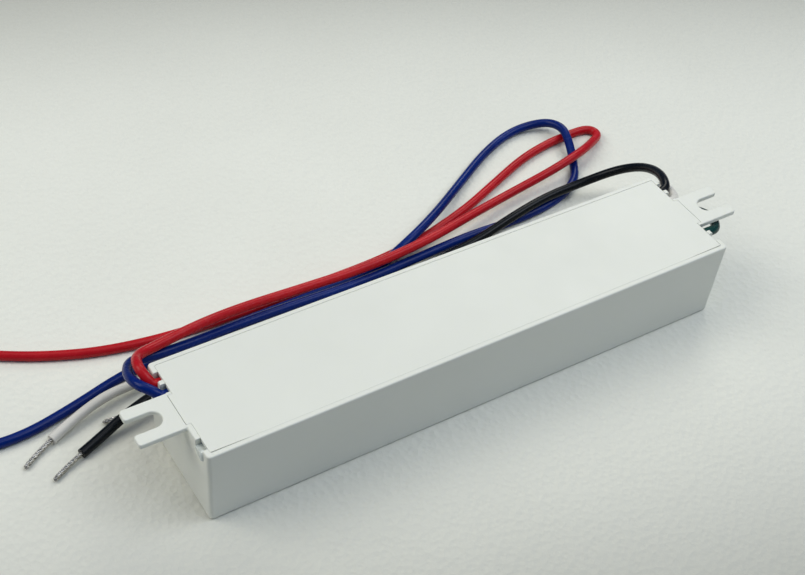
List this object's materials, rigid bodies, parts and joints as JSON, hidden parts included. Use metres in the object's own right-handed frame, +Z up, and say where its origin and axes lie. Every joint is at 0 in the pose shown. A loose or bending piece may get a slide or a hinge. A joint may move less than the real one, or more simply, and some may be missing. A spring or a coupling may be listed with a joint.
{
  "type": "led driver",
  "caption": "Slim potted LED driver in a white moulded housing with slotted end ears, a flush cover plate and loose output and supply leads.",
  "frame": {"origin": "on the table below the middle of the housing, on the label face, with the cover side up", "axes": "+X along the housing to the supply-lead end, +Y across it to the side where the leads lie, +Z up from the label face to the cover"},
  "size_m": [0.2196, 0.083, 0.0233],
  "materials": {
    "white_moulding": "satin",
    "potting_resin": "gloss",
    "red_insulation": "satin",
    "blue_insulation": "satin",
    "black_insulation": "satin",
    "white_insulation": "satin",
    "green_insulation": "satin",
    "tinned_strands": "satin",
    "solder": "gloss",
    "board_laminate": "satin",
    "black_package": "matte",
    "ferrite": "matte",
    "copper_winding": "satin",
    "bobbin_plastic": "matte",
    "capacitor_sleeve": "gloss",
    "film_capacitor_case": "satin",
    "blue_coating": "gloss",
    "dark_coating": "gloss"
  },
  "bodies": {
    "root": {"housing": "white_moulding", "base_cover": "white_moulding", "potting_compound": "potting_resin", "circuit_board": "board_laminate", "chip_resistors": "black_package", "lead_solder_joints": "solder", "input_fuse": "black_package", "inrush_thermistor": "dark_coating", "surge_varistor": "blue_coating", "filter_choke_core": "ferrite", "filter_choke_winding_front": "copper_winding", "filter_choke_winding_back": "copper_winding", "line_capacitor": "film_capacitor_case", "safety_capacitor": "blue_coating", "bridge_rectifier": "black_package", "bulk_capacitor": "capacitor_sleeve", "switching_controller": "black_package", "transformer_core_front": "ferrite", "transformer_core_back": "ferrite", "transformer_bobbin": "bobbin_plastic", "transformer_winding": "copper_winding", "optocoupler": "black_package", "voltage_reference": "black_package", "output_rectifier": "black_package", "output_capacitor_1": "capacitor_sleeve", "output_capacitor_2": "capacitor_sleeve", "output_choke_core": "ferrite", "output_choke_winding": "copper_winding", "red_output_lead": "red_insulation", "red_output_lead_tip": "tinned_strands", "blue_output_lead": "blue_insulation", "blue_output_lead_tip": "tinned_strands", "black_supply_lead": "black_insulation", "black_supply_lead_tip": "tinned_strands", "white_supply_lead": "white_insulation", "white_supply_lead_tip": "tinned_strands", "green_ground_lead": "green_insulation", "green_ground_lead_tip": "tinned_strands"}
  },
  "joints": []
}
